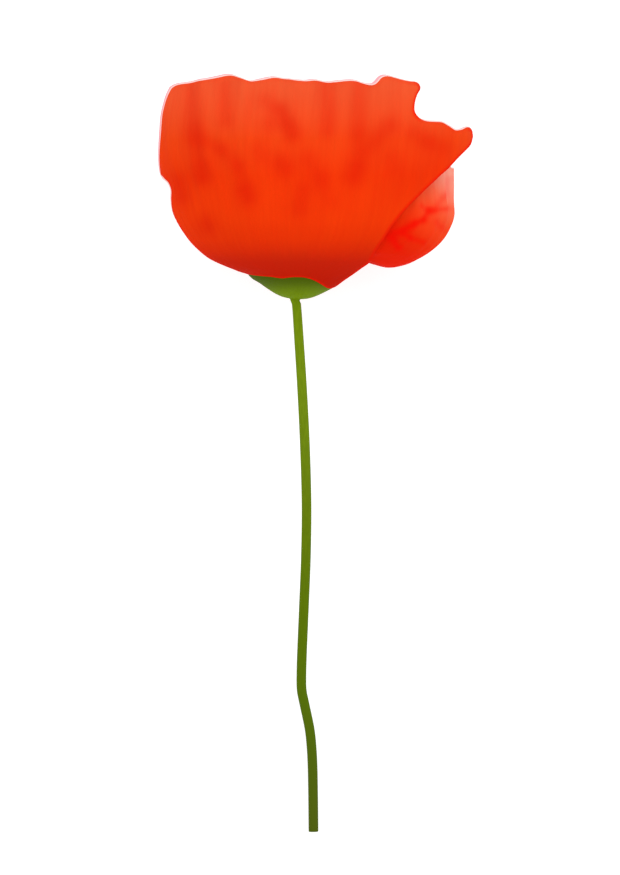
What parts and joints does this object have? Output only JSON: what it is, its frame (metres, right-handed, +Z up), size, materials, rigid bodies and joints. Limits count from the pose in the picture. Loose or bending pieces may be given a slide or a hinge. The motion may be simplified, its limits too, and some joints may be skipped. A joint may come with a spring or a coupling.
{
  "type": "poppy flower",
  "caption": "Cut poppy flower lying on its side: overlapping waved petals round a pistil and a ring of stamens, on a slender curved stem.",
  "frame": {"origin": "middle of the bounding box, on the surface that the flower lies on", "axes": "+Z up, +Y along the flower from the stem's cut end towards the open mouth, +X to the picture's right"},
  "size_m": [0.0856, 0.2072, 0.0572],
  "materials": {
    "stem": "satin",
    "petal": "satin",
    "inner_petal": "satin",
    "ovary": "matte",
    "stigma": "matte",
    "stamens": "matte"
  },
  "bodies": {
    "root": {"stem_and_receptacle": "stem", "petal_outer_front": "petal", "petal_outer_back": "petal", "petal_inner_left": "petal", "petal_inner_right": "inner_petal", "ovary": "ovary", "stigma_disc": "stigma", "stamens": "stamens"}
  },
  "joints": []
}
